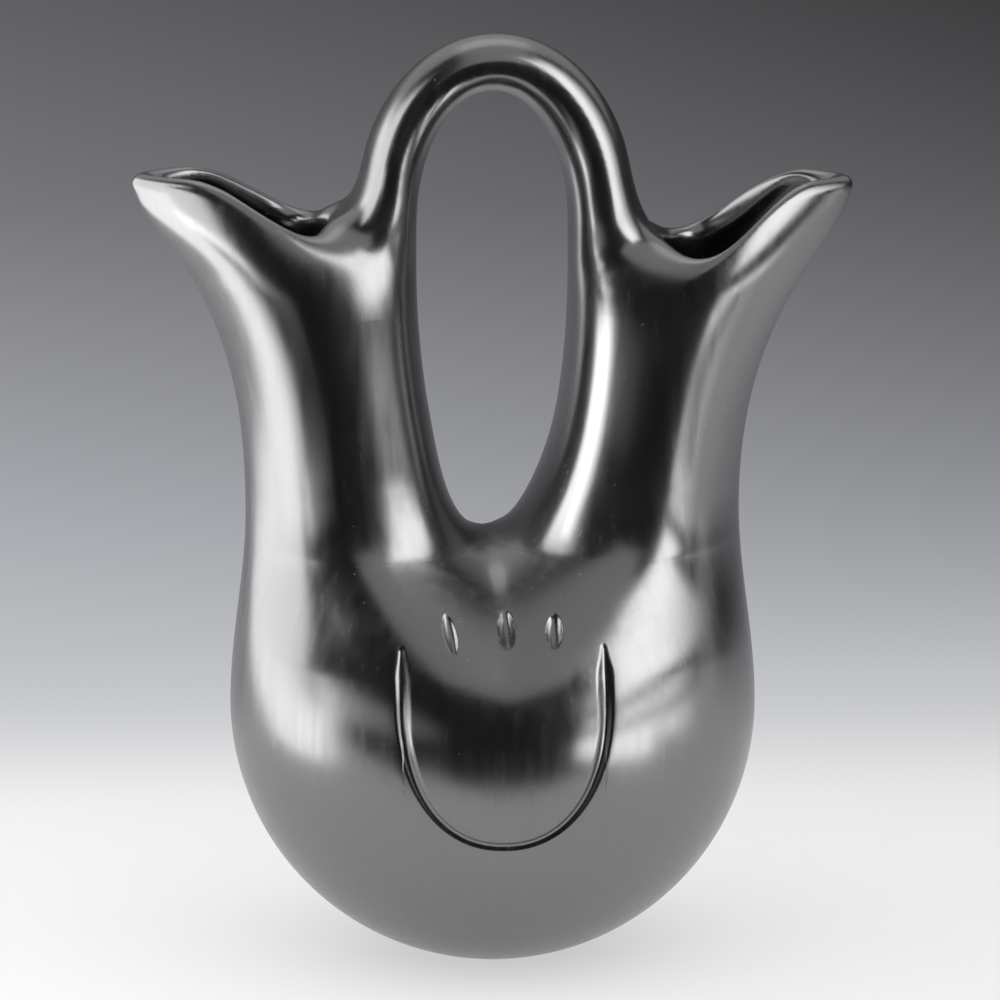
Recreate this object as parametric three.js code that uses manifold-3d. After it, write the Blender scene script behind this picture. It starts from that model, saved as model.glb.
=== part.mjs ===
// Wedding vase of burnished black pottery: a round coil-built body, two flared necks and an arched handle.
// Millimetres, +Z up, +X to the right spout, -Y to the decorated front; the origin is the centre of the foot.
import * as THREE from "three";
import { mergeVertices } from "three/addons/utils/BufferGeometryUtils.js";
import Module from "manifold-3d";

const wasm = await Module();
wasm.setup();

// Clay walls and the slip that lutes one piece to the next
const wallThickness = 8;
const floorThickness = 10;
const webThickness = 10;
const rimThickness = 10.5;
const slipSeam = 0.3;
const seamBevel = 2;

// Body: a bowl on a small flat foot
const bellyRadius = 91;
const bellyHeight = 88;
const footRadius = 21.5;

// Heights of the clay pieces, each measured from the feature below it
const baseRise = 26;
const shoulderSeamRise = 22;
const shoulderRise = 58.7;
const neckSeamRise = 9;
const neckRise = 93.3;
const lipSeamDrop = 14;

// Necks seen from the front: half-widths over both necks and the outward slope of the wall
const waistHalfWidth = 85.4;
const waistRise = 9;
const leftThroatHalfWidth = 104.9;
const leftThroatFlare = 0.6;
const leftLipHalfWidth = 121.8;
const rightThroatHalfWidth = 109.5;
const rightThroatFlare = 0.68;
const rightLipHalfWidth = 123.5;
const lipRise = 24;
const lipFlare = 0.35;

// Body and necks seen from the side: the front swells past the belly, falls away, turns up into the necks,
// which taper slowly, and draws in over the rims; draws are measured from the belly, the spread from the neck
const swellRise = 22;
const swellDraw = 7;
const swellSlope = 0.62;
const fallRise = 42;
const fallDraw = 24.5;
const fallSlope = 0.98;
const napeRise = 3.3;
const napeSpread = 5.3;
const napeSlope = 0.5;
const neckHalfDepth = 45.2;
const neckHalfDepthRise = 23.3;
const neckTaper = 0.08;
const mouthHalfDepth = 42.5;
const mouthDrop = 4;
const mouthTaper = 0.1;
const rimHalfDepth = 24;
const rimRise = 36;
const rimTaper = 0.6;

// Necks are drawn to an edge outside and stay full towards the loop; the mouths are pinched there too
const neckPinch = 0.35;
const neckPinchRise = 18.3;
const borePinch = 0.45;

// The gap between the necks, closed above by the handle; it drifts sideways as the hand left it
const loopHalfWidth = 26.2;
const saddleSoftness = 4.4;
const archSpringRise = 15;
const loopArchRise = 46;
const saddleDrift = -1.8;
const neckDrift = 0.2;
const neckDriftRise = 43.3;
const loopDrift = -0.1;

// Rims: crest heights above the throat, lowest beside the handle and highest at the tip, and the clay left
// solid between the loop and the mouth to carry the foot of the handle
const leftSaddleHalfWidth = 57;
const leftSaddleRise = 16;
const leftTipHalfWidth = 105;
const leftTipRise = 33.5;
const leftFootThickness = 31;
const leftHandleRise = 5;
const leftHandleFlare = 10;
const rightSaddleHalfWidth = 64;
const rightSaddleRise = 7.5;
const rightTipHalfWidth = 109;
const rightTipRise = 30.5;
const rightFootThickness = 37;
const rightHandleRise = 6;
const rightHandleFlare = 12;

// Handle: thickness in the plane of the arch, depth across it and the flare of its roots
const handleTopThickness = 19.5;
const handleRootThickness = 21.1;
const handleBackShift = 1.2;
const handleRootLift = 7;
const handleRootDepth = 18;
const handleRootSink = 8;
const handleTopHalfDepth = 16.5;
const handleRootHalfDepth = 29;
const handleRootFullness = 0.15;
const handleDepthBend = 1.5;
const handleFlareDrop = 42.5;
const handleFlareBend = 2.6;

// Facets
const columns = 30;
const baseRows = 5;
const floorRows = 7;
const coilRows = 4;
const shoulderRows = { below: 6, above: 3 };
const lipRowCount = 5;
const rollSteps = 5;
const handleSides = 20;
const handleSteps = 20;
const handleRootSteps = 3;
const settleTurns = 24;

const crotchHeight = bellyHeight + shoulderRise;
const throatHeight = crotchHeight + neckRise;
const waistHeight = crotchHeight + waistRise;
const lipHeight = throatHeight + lipRise;
const shoulderSeam = bellyHeight + shoulderSeamRise;
const neckSeam = crotchHeight + neckSeamRise;
const lipSeam = throatHeight - lipSeamDrop;
const throatSeam = (neckSeam + lipSeam) / 2;
const courseRise = (shoulderSeam - baseRise) / 3;
const archSpring = throatHeight + archSpringRise;
const handleTop = archSpring + loopArchRise + handleTopThickness;
const handleFaceHalfWidth = loopHalfWidth + handleRootThickness;
const neckPinchHeight = crotchHeight + neckPinchRise;
const bowlRise = bellyHeight / Math.sqrt(1 - (footRadius / bellyRadius) ** 2);

const leftRim = {
  side: -1,
  throatHalfWidth: leftThroatHalfWidth,
  throatFlare: leftThroatFlare,
  lipHalfWidth: leftLipHalfWidth,
  saddleHalfWidth: leftSaddleHalfWidth,
  saddle: throatHeight + leftSaddleRise,
  tipHalfWidth: leftTipHalfWidth,
  tip: throatHeight + leftTipRise,
  footThickness: leftFootThickness,
  handleRise: leftHandleRise,
  handleFlare: leftHandleFlare,
};
const rightRim = {
  side: 1,
  throatHalfWidth: rightThroatHalfWidth,
  throatFlare: rightThroatFlare,
  lipHalfWidth: rightLipHalfWidth,
  saddleHalfWidth: rightSaddleHalfWidth,
  saddle: throatHeight + rightSaddleRise,
  tipHalfWidth: rightTipHalfWidth,
  tip: throatHeight + rightTipRise,
  footThickness: rightFootThickness,
  handleRise: rightHandleRise,
  handleFlare: rightHandleFlare,
};

const blackware = (tint) => new THREE.MeshStandardMaterial({ color: tint, roughness: 0.22, metalness: 0 });

const clamp = (value, low, high) => Math.min(high, Math.max(low, value));

// Smooth curve through knots [height, value, slope]
function through(knots, height) {
  let k = 0;
  while (k < knots.length - 2 && height > knots[k + 1][0]) {
    k += 1;
  }
  const [z0, v0, m0] = knots[k];
  const [z1, v1, m1] = knots[k + 1];
  const span = z1 - z0;
  const u = clamp((height - z0) / span, 0, 1);
  const over = height - clamp(height, z0, z1);
  const rise = u * u * (3 - 2 * u);
  const start = u * (1 - u) * (1 - u);
  const end = u * u * (u - 1);
  return v0 + (v1 - v0) * rise + span * (m0 * start + m1 * end) + over * (over > 0 ? m1 : m0);
}

// Outer half-width seen from the front; a positive inset gives the inside of the wall
const frontKnots = (rim) => [
  [bellyHeight, bellyRadius, 0],
  [waistHeight, waistHalfWidth, 0],
  [throatHeight, rim.throatHalfWidth, rim.throatFlare],
  [lipHeight, rim.lipHalfWidth, lipFlare],
];

function halfWidth(z, inset, rim) {
  if (z >= bellyHeight) {
    return through(frontKnots(rim), z) - inset;
  }
  const rise = inset > 0 ? bellyHeight - floorThickness : bowlRise;
  return (bellyRadius - inset) * Math.sqrt(Math.max(0, 1 - ((bellyHeight - z) / rise) ** 2));
}

// Half-depth seen from the side, which falls from the round belly to the necks and in over the rims
const sideKnots = [
  [bellyHeight, Math.hypot(bellyRadius, saddleSoftness), 0],
  [bellyHeight + swellRise, bellyRadius - swellDraw, -swellSlope],
  [bellyHeight + fallRise, bellyRadius - fallDraw, -fallSlope],
  [crotchHeight + napeRise, neckHalfDepth + napeSpread, -napeSlope],
  [crotchHeight + neckHalfDepthRise, neckHalfDepth, -neckTaper],
  [throatHeight - mouthDrop, mouthHalfDepth, -mouthTaper],
  [throatHeight + rimRise, rimHalfDepth, -rimTaper],
];

// Wall thickness, thicker at the rim
const wallKnots = [
  [lipSeam, wallThickness, 0],
  [archSpring, rimThickness, 0],
];

const wallAt = (z) => through(wallKnots, Math.min(z, archSpring));

// The clay between loop and bore grows from a plain wall to the foot of the handle
function footAt(z, rim) {
  const start = lipSeam - lipSeamDrop;
  const knots = [[start, 0, 0], [archSpring, rim.footThickness - rimThickness, 0]];
  return through(knots, clamp(z, start, archSpring));
}

// How far a section is folded in, by the turn from its outer end (1) to its inner end (-1)
const pinchKnots = [
  [shoulderSeam, 0, 0],
  [neckPinchHeight, neckPinch, 0],
];

function foldAt(z, inset, rim, turn) {
  const pinch = through(pinchKnots, clamp(z, shoulderSeam, neckPinchHeight));
  const share = inset > 0 ? footAt(z, rim) / (rim.footThickness - rimThickness) : 0;
  const inward = share * (pinch + borePinch) - pinch;
  return (turn > 0 ? pinch : inward) * Math.abs(turn) ** 3;
}

// Half of the gap between the necks: a long oval, closed above by the arch of the handle
function loopAt(z, inset, bottom) {
  const below = clamp((throatHeight - z) / (throatHeight - bottom), 0, 1);
  const above = clamp((z - archSpring) / loopArchRise, 0, 1);
  const arch = loopHalfWidth * (1 - Math.sqrt(1 - above * above));
  return (loopHalfWidth + inset) * Math.sqrt(1 - below * below) - arch;
}

// A section is two mirrored ellipses melted into each other: the inner reach of each ellipse is positive
// where the necks are apart and falls to minus the half-width at the round belly.
function section(z, inset, rim) {
  const bottom = crotchHeight - (inset > 0 ? webThickness : inset);
  const outer = Math.hypot(halfWidth(z, inset, rim), saddleSoftness);
  let inner = 0;
  if (z >= bottom) {
    inner = Math.hypot(loopAt(z, inset, bottom) + (inset > 0 ? footAt(z, rim) : 0), saddleSoftness);
  } else {
    const slope = (loopHalfWidth + inset) ** 2 / ((throatHeight - bottom) * saddleSoftness);
    const span = bottom - bellyHeight;
    const melt = [[0, 0, slope / (outer + saddleSoftness)], [span, 1, 0]];
    inner = saddleSoftness - (outer + saddleSoftness) * through(melt, Math.min(span, bottom - z));
  }
  const depth = z >= bellyHeight ? through(sideKnots, z) - inset : outer;
  return { centre: (outer + inner) / 2, reach: (outer - inner) / 2, depth };
}

// Point on the right half of a section; along runs from -1 in front round the outside to 1 behind
function sectionPoint(z, along, inset, rim) {
  const { centre, reach, depth } = section(z, inset, rim);
  const last = Math.acos(clamp((saddleSoftness - centre) / reach, -1, 1));
  const turn = Math.cos(last * along);
  const s = centre + reach * turn;
  const x = Math.sqrt(Math.max(0, s * s - saddleSoftness * saddleSoftness));
  const y = depth * Math.sin(last * along) * (1 - foldAt(z, inset, rim, turn));
  return new THREE.Vector3(x, y, z);
}

const alongColumn = (i) => (2 * i) / columns - 1;

const sectionRow = (z, inset, rim) =>
  Array.from({ length: columns + 1 }, (_, i) => sectionPoint(z, alongColumn(i), inset, rim));

const mirrored = (row) => row.map((p) => new THREE.Vector3(-p.x, p.y, p.z)).reverse();

// Sideways drift of the loop on its way up, fading out towards the silhouette
const driftKnots = [
  [shoulderSeam, 0, 0],
  [crotchHeight, saddleDrift, 0],
  [crotchHeight + neckDriftRise, neckDrift, 0],
  [throatHeight, loopDrift, 0],
];

function lean(point) {
  if (point.z > shoulderSeam) {
    const rim = point.x > 0 ? rightRim : leftRim;
    const share = Math.min(1, Math.abs(point.x) / halfWidth(Math.min(point.z, lipHeight), 0, rim));
    point.x += through(driftKnots, Math.min(point.z, throatHeight)) * (1 - share * share);
  }
  return point;
}

// Quads between neighbouring rows of points, as triangles
function skin(rows, closed) {
  const triangles = [];
  const spans = closed ? rows.length : rows.length - 1;
  for (let k = 0; k < spans; k += 1) {
    const low = rows[k];
    const high = rows[(k + 1) % rows.length];
    for (let i = 0; i < low.length - 1; i += 1) {
      triangles.push([low[i], low[i + 1], high[i + 1]], [low[i], high[i + 1], high[i]]);
    }
  }
  return triangles;
}

// One closed body from triangles: shared corners are merged and flat leftovers dropped
function body(triangles) {
  const leaned = triangles.flat().map((point) => lean(point.clone()));
  const loose = new THREE.BufferGeometry().setFromPoints(leaned);
  const geometry = mergeVertices(loose, 1e-3);
  const corners = geometry.getIndex().array;
  const kept = [];
  for (let k = 0; k < corners.length; k += 3) {
    const [a, b, c] = corners.slice(k, k + 3);
    if (a !== b && b !== c && c !== a) {
      kept.push(a, b, c);
    }
  }
  geometry.setIndex(kept);
  return geometry;
}

function toSolid(geometry) {
  const vertProperties = new Float32Array(geometry.getAttribute("position").array);
  const triVerts = new Uint32Array(geometry.getIndex().array);
  return new wasm.Manifold(new wasm.Mesh({ numProp: 3, vertProperties, triVerts }));
}

function fromSolid(solid) {
  const mesh = solid.getMesh();
  const geometry = new THREE.BufferGeometry();
  geometry.setAttribute("position", new THREE.BufferAttribute(mesh.vertProperties, 3));
  geometry.setIndex(new THREE.BufferAttribute(mesh.triVerts, 1));
  return geometry;
}

// Evenly stepped heights
const steps = (from, to, count) =>
  Array.from({ length: count + 1 }, (_, k) => from + ((to - from) * k) / count);

// Heights that crowd towards the saddle, where the section changes fastest
const crowded = (from, saddle, to) => [
  ...steps(1, 0, shoulderRows.below).map((u) => saddle - (saddle - from) * u * u),
  ...steps(0, 1, shoulderRows.above).slice(1).map((u) => saddle + (to - saddle) * u * u),
];

// A seam is bevelled: the upper piece laps over the inside of the lower one
const seamEdges = (height, side) => ({
  outer: height + seamBevel + (side * slipSeam) / 2,
  inner: height - seamBevel + (side * slipSeam) / 2,
});

// Base: the pat pressed in the bowl mould, a revolve closed on the axis
function base() {
  const top = seamEdges(baseRise, -1);
  const profile = [new THREE.Vector2(0, 0)];
  for (const z of steps(0, top.outer, baseRows)) {
    profile.push(new THREE.Vector2(halfWidth(z, 0, leftRim), z));
  }
  const turns = steps(Math.acos((bellyHeight - top.inner) / (bellyHeight - floorThickness)), 0, floorRows);
  for (const turn of turns) {
    const radius = (bellyRadius - wallThickness) * Math.sin(turn);
    profile.push(new THREE.Vector2(radius, bellyHeight - (bellyHeight - floorThickness) * Math.cos(turn)));
  }
  profile[profile.length - 1].x = 0;
  return revolve(profile);
}

// Coil of the bowl wall: a revolved band between two bevelled seams
function bowlCoil(from, to) {
  const bottom = seamEdges(from, 1);
  const top = seamEdges(to, -1);
  const at = (z, inset) => new THREE.Vector2(halfWidth(z, inset, leftRim), z);
  const outer = steps(bottom.outer, top.outer, coilRows).map((z) => at(z, 0));
  const inner = steps(top.inner, bottom.inner, coilRows).map((z) => at(z, wallThickness));
  return revolve([...outer, ...inner, outer[0].clone()]);
}

// Profile of radius and height turned about the vertical axis
function revolve(profile) {
  const lathe = new THREE.LatheGeometry(profile, 2 * columns);
  lathe.rotateX(Math.PI / 2);
  lathe.deleteAttribute("normal");
  lathe.deleteAttribute("uv");
  const points = lathe.getAttribute("position");
  const corners = lathe.getIndex().array;
  const triangles = [];
  for (let k = 0; k < corners.length; k += 3) {
    const at = (n) => new THREE.Vector3().fromBufferAttribute(points, corners[k + n]);
    triangles.push([at(0), at(1), at(2)]);
  }
  return body(triangles);
}

const onSide = (side, rows) => (side > 0 ? rows : rows.map(mirrored));

// Both halves of a wall, from outer and inner heights
function doubleWall(outerHeights, innerHeights) {
  const half = (rim) =>
    onSide(rim.side, [
      ...outerHeights.map((z) => sectionRow(z, 0, rim)),
      ...innerHeights.map((z) => sectionRow(z, wallThickness, rim)),
    ]);
  return body([...skin(half(rightRim), true), ...skin(half(leftRim), true)]);
}

// Last coil of the body, where the belly turns from round to drawn in
function upperCoil() {
  const bottom = seamEdges(shoulderSeam - courseRise, 1);
  const top = seamEdges(shoulderSeam, -1);
  return doubleWall(steps(bottom.outer, top.outer, coilRows), steps(top.inner, bottom.inner, coilRows));
}

// Shoulder: one ring below, two neck openings above, and the saddle between them
function shoulder() {
  const bottom = seamEdges(shoulderSeam, 1);
  const top = seamEdges(neckSeam, -1);
  const outer = crowded(bottom.outer, crotchHeight, top.outer);
  const inner = crowded(bottom.inner, crotchHeight - webThickness, top.inner);
  return doubleWall(outer, inner.reverse());
}

// Coil of one neck
function neckCoil(rim, from, to) {
  const bottom = seamEdges(from, 1);
  const top = seamEdges(to, -1);
  const rows = [
    ...steps(bottom.outer, top.outer, coilRows).map((z) => sectionRow(z, 0, rim)),
    ...steps(top.inner, bottom.inner, coilRows).map((z) => sectionRow(z, wallThickness, rim)),
  ];
  return body(skin(onSide(rim.side, rows), true));
}

// Crest height of a rim: up to the tip outside, up to the handle inside
function crest(rim, x) {
  if (x < rim.saddleHalfWidth) {
    const near = Math.min(1, (rim.saddleHalfWidth - x) / (rim.saddleHalfWidth - handleFaceHalfWidth));
    return rim.saddle + rim.handleRise * near * near;
  }
  const u = Math.min(1, (x - rim.saddleHalfWidth) / (rim.tipHalfWidth - rim.saddleHalfWidth));
  return rim.saddle + ((rim.tip - rim.saddle) * (1 - Math.cos(Math.PI * u))) / 2;
}

// Where the wall ends and the rolled rim begins, for one column
function rimEnd(rim, along, grow) {
  let z = throatHeight;
  let outer = null;
  let inner = null;
  for (let k = 0; k < settleTurns; k += 1) {
    outer = sectionPoint(z, along, -grow, rim);
    inner = sectionPoint(z, along, wallAt(z) + grow, rim);
    const x = (outer.x + inner.x) / 2;
    z = crest(rim, x) + grow - outer.distanceTo(inner) / 2;
  }
  const middle = outer.clone().add(inner).multiplyScalar(0.5);
  const under = z - seamBevel;
  const lower = sectionPoint(under, along, -grow, rim);
  lower.add(sectionPoint(under, along, wallAt(under) + grow, rim));
  const up = middle.clone().sub(lower.multiplyScalar(0.5));
  return { z, middle, across: outer.clone().sub(middle), up: up.divideScalar(up.z) };
}

// Rows of a lip: up the outside, over the roll and down the bore
function lipRows(rim, grow) {
  const bottom = seamEdges(lipSeam, 1);
  const ends = Array.from({ length: columns + 1 }, (_, i) => rimEnd(rim, alongColumn(i), grow));
  const wallRow = (u, from, inside) =>
    ends.map((end, i) => {
      const z = from + (end.z - from) * u;
      return sectionPoint(z, alongColumn(i), inside ? wallAt(z) + grow : -grow, rim);
    });
  const rollRow = (turn) =>
    ends.map(({ middle, across, up }) =>
      middle
        .clone()
        .addScaledVector(across, Math.cos(turn))
        .addScaledVector(up, across.length() * Math.sin(turn)),
    );
  const outside = steps(0, 1, lipRowCount).map((u) => wallRow(u, bottom.outer, false));
  const roll = steps(0, Math.PI, rollSteps).slice(1).map(rollRow);
  const inside = steps(1, 0, lipRowCount).slice(1).map((u) => wallRow(u, bottom.inner, true));
  return { outside, roll, inside };
}

function lip(rim) {
  const { outside, roll, inside } = lipRows(rim, 0);
  return body(skin(onSide(rim.side, [...outside, ...roll, ...inside]), true));
}

// A lip with its mouth filled in, a slip's width larger all round: what the handle has to fit
function lipPlug(rim) {
  const { outside, roll } = lipRows(rim, slipSeam);
  const rows = [...outside, ...roll];
  const toCentre = (row) => {
    const centre = row.reduce((sum, p) => sum.add(p), new THREE.Vector3()).divideScalar(row.length);
    return row.map(() => centre);
  };
  return body(skin(onSide(rim.side, [toCentre(rows[0]), ...rows, toCentre(rows[rows.length - 1])]), false));
}

// Sections of the arch, each an oval between a point of the loop and a point of the handle's back
function handleSections() {
  const outerSpring = archSpring + handleRootLift;
  const flareTop = handleTop - handleFlareDrop;
  const count = handleSteps + 2 * handleRootSteps;
  return steps(-handleRootSteps, handleSteps + handleRootSteps, count).map((step) => {
    const turn = Math.PI * clamp(step / handleSteps, 0, 1);
    const drop = (handleRootDepth * Math.max(-step, step - handleSteps, 0)) / handleRootSteps;
    const rim = Math.cos(turn) > 0 ? rightRim : leftRim;
    const outerHeight = outerSpring + (handleTop - outerSpring) * Math.sin(turn) - drop;
    const flare = clamp((flareTop - outerHeight) / (flareTop - rim.saddle), 0, 1) ** handleFlareBend;
    const growth = clamp((handleTop - outerHeight) / (handleTop - rim.saddle), 0, 1) ** handleDepthBend;
    const sunk = (handleRootSink * drop) / handleRootDepth;
    const back = handleBackShift + rim.side * rim.handleFlare * flare;
    return {
      inner: [loopHalfWidth * Math.cos(turn), archSpring + loopArchRise * Math.sin(turn) - drop],
      outer: [handleFaceHalfWidth * Math.cos(turn) + back, outerHeight],
      halfDepth: handleTopHalfDepth + (handleRootHalfDepth - handleTopHalfDepth) * growth - sunk,
      fullness: handleRootFullness * growth,
    };
  });
}

// Handle: the arch lofted through its sections, with its feet cut to sit on the two rims
function handle() {
  const rows = handleSections().map(({ inner, outer, halfDepth, fullness }) => {
    const from = new THREE.Vector3(inner[0], 0, inner[1]);
    const to = new THREE.Vector3(outer[0], 0, outer[1]);
    const middle = from.clone().add(to).multiplyScalar(0.5);
    const across = to.sub(middle);
    return steps(0, 2 * Math.PI, handleSides).map((turn) => {
      const full = 1 + fullness * Math.max(0, -Math.cos(turn)) ** 3;
      const point = middle.clone().addScaledVector(across, Math.cos(turn));
      point.y = halfDepth * full * Math.sin(turn);
      return point;
    });
  });
  const ends = [rows[0], rows[rows.length - 1]].map((row) => {
    const centre = row[0].clone().add(row[handleSides / 2]).multiplyScalar(0.5);
    return row.map(() => centre);
  });
  const arch = toSolid(body(skin([ends[0], ...rows, ends[1]], false)));
  const plugs = [leftRim, rightRim].map((rim) => toSolid(lipPlug(rim)));
  return fromSolid(arch.subtract(plugs[0]).subtract(plugs[1]));
}

const vase = new THREE.Group();

function place(name, geometry, tint) {
  const mesh = new THREE.Mesh(geometry, blackware(tint));
  mesh.name = name;
  vase.add(mesh);
}

place("base", base(), "#1b1a1a");
place("lower_coil", bowlCoil(baseRise, baseRise + courseRise), "#1e1d1d");
place("belly_coil", bowlCoil(baseRise + courseRise, baseRise + 2 * courseRise), "#1b1b1c");
place("upper_coil", upperCoil(), "#1e1d1d");
place("shoulder", shoulder(), "#1b1a1a");
for (const [sideName, rim] of [["left", leftRim], ["right", rightRim]]) {
  place(`${sideName}_neck`, neckCoil(rim, neckSeam, throatSeam), "#1e1d1d");
  place(`${sideName}_throat`, neckCoil(rim, throatSeam, lipSeam), "#1b1b1c");
  place(`${sideName}_lip`, lip(rim), "#1e1d1d");
}
place("handle", handle(), "#1b1a1a");

export default vase;
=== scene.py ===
import bpy
import math
from mathutils import Matrix, Vector


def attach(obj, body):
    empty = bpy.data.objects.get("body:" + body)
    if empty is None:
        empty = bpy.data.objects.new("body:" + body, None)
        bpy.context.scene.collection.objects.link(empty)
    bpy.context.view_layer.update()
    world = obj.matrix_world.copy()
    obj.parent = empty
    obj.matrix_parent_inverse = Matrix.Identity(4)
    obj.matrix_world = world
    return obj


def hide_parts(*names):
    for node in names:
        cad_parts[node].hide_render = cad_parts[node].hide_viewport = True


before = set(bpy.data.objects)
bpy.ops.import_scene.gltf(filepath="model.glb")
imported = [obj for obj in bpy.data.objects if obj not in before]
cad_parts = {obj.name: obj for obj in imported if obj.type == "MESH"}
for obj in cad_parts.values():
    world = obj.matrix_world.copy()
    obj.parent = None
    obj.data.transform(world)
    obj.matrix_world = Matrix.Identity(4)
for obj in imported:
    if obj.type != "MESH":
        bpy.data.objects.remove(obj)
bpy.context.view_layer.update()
mm = 0.001
print("frame loaded,", len(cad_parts), "clay pieces")


# the walls of the vase, in mm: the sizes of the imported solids, with a longer fillet from neck to shoulder
form = {
    "wall": 8, "floor": 10, "web": 10, "rimThickness": 10.5, "rimFull": 255,
    "bellyRadius": 91, "bellyHeight": 88, "footRadius": 21.5,
    "crotchHeight": 146.7, "throatHeight": 240, "archSpring": 255,
    "loopHalfWidth": 26.2, "archRise": 46, "softness": 4.4,
    "shoulderSeam": 110, "lipSeam": 226, "footStart": 212, "frontTop": 264,
    "pinchHeight": 165, "pinch": 0.35, "borePinch": 0.45,
    "side": [(88, math.hypot(91, 4.4), 0), (110, 84, -0.62), (130, 66.5, -0.98), (150, 51.2, -0.5),
             (170, 45.7, -0.17), (192, 43.9, -0.04), (236, 42.5, -0.1), (276, 24, -0.6)],  # height, half-depth, slope
    "lean": [(110, 0, 0), (146.7, -1.8, 0), (190, 0.2, 0), (240, -0.1, 0)],  # sideways drift of the loop
}
# the two necks differ a little; front gives height, half-width and slope
leftRim = {
    "side": -1, "saddle": 256, "saddleAt": 57, "tip": 273.5, "tipAt": 105,
    "handleFoot": 31, "handleRise": 5, "handleFlare": 10,
    "front": [(88, 91, 0), (155.7, 85.4, 0), (240, 104.9, 0.60), (264, 121.8, 0.35)],
}
rightRim = {
    "side": 1, "saddle": 247.5, "saddleAt": 64, "tip": 270.5, "tipAt": 109,
    "handleFoot": 37, "handleRise": 6, "handleFlare": 12,
    "front": [(88, 91, 0), (155.7, 85.4, 0), (240, 109.5, 0.68), (264, 123.5, 0.35)],
}
rims = {-1: leftRim, 1: rightRim}


def clamp(value, low, high):
    return min(high, max(low, value))


def smoothStep(low, high, value):
    u = clamp((value - low) / (high - low), 0, 1)
    return u * u * (3 - 2 * u)


def steps(low, high, size):
    count = max(1, round((high - low) / size))
    return [low + (high - low) * k / count for k in range(count + 1)]


def through(knots, height):  # smooth curve through (height, value, slope)
    k = 0
    while k < len(knots) - 2 and height > knots[k + 1][0]:
        k += 1
    (z0, v0, m0), (z1, v1, m1) = knots[k], knots[k + 1]
    span = z1 - z0
    inside = clamp(height, z0, z1)
    u = (inside - z0) / span
    over = height - inside
    bend = span * (m0 * u * (1 - u) ** 2 + m1 * u * u * (u - 1))
    return v0 + (v1 - v0) * u * u * (3 - 2 * u) + bend + over * (m1 if over > 0 else m0)


def halfWidth(z, inset, rim):
    belly, radius = form["bellyHeight"], form["bellyRadius"]
    if z >= belly:
        return through(rim["front"], z) - inset
    bowl = belly / math.sqrt(1 - (form["footRadius"] / radius) ** 2)
    rise = belly - form["floor"] if inset > 0 else bowl
    return (radius - inset) * math.sqrt(max(0, 1 - ((belly - z) / rise) ** 2))


def wallAt(z):  # the wall thickens towards the rim
    knots = [(form["lipSeam"], form["wall"], 0), (form["rimFull"], form["rimThickness"], 0)]
    return through(knots, min(z, form["rimFull"]))


def loopAt(z, inset, bottom):  # half of a long oval, upright in the middle and closed by the arch of the handle
    below = clamp((form["throatHeight"] - z) / (form["throatHeight"] - bottom), 0, 1)
    above = clamp((z - form["archSpring"]) / form["archRise"], 0, 1)
    opened = (form["loopHalfWidth"] + inset) * math.sqrt(1 - below * below)
    return opened - form["loopHalfWidth"] * (1 - math.sqrt(1 - above * above))


def handleFootAt(z, rim):  # clay left solid under the foot of the handle
    knots = [(form["footStart"], 0, 0), (form["archSpring"], rim["handleFoot"] - form["rimThickness"], 0)]
    return through(knots, clamp(z, form["footStart"], form["archSpring"]))


# two mirrored ellipses that melt into one round section towards the belly
def section(z, inset, rim):
    eps = form["softness"]
    bottom = form["crotchHeight"] - (form["web"] if inset > 0 else 0)
    outer = math.hypot(halfWidth(z, inset, rim), eps)
    if z >= bottom:
        inner = math.hypot(loopAt(z, inset, bottom) + (handleFootAt(z, rim) if inset > 0 else 0), eps)
    else:
        slope = (form["loopHalfWidth"] + inset) ** 2 / ((form["throatHeight"] - bottom) * eps)
        span = bottom - form["bellyHeight"]
        melt = through([(0, 0, slope / (outer + eps)), (span, 1, 0)], min(span, bottom - z))
        inner = eps - (outer + eps) * melt
    depth = through(form["side"], z) - inset if z >= form["bellyHeight"] else outer
    return (outer + inner) / 2, (outer - inner) / 2, depth


# necks are drawn to an edge outside and stay full towards the loop; the mouths are pinched there too
def pinchAt(z, inset, rim, turn):
    low, high = form["shoulderSeam"], form["pinchHeight"]
    pinch = through([(low, 0, 0), (high, form["pinch"], 0)], clamp(z, low, high))
    if turn > 0:
        return pinch
    share = handleFootAt(z, rim) / (rim["handleFoot"] - form["rimThickness"]) if inset > 0 else 0
    return share * (pinch + form["borePinch"]) - pinch


# along runs from -1 in front, round the outside, to 1 behind
def sectionPoint(z, along, inset, rim):
    eps = form["softness"]
    centre, reach, depth = section(z, inset, rim)
    last = math.acos(clamp((eps - centre) / reach, -1, 1))
    turn = math.cos(last * along)
    s = centre + reach * turn
    fold = pinchAt(z, inset, rim, turn) * abs(turn) ** 3
    return Vector((math.sqrt(max(0, s * s - eps * eps)), depth * math.sin(last * along) * (1 - fold), z))


def leaned(point):  # the small sideways drift of hand building, strongest at the loop
    if point.z > form["shoulderSeam"]:
        rim = rims[1 if point.x > 0 else -1]
        share = min(1, abs(point.x) / halfWidth(min(point.z, form["frontTop"]), 0, rim))
        point.x += through(form["lean"], min(point.z, form["throatHeight"])) * (1 - share * share)
    return point


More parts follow.
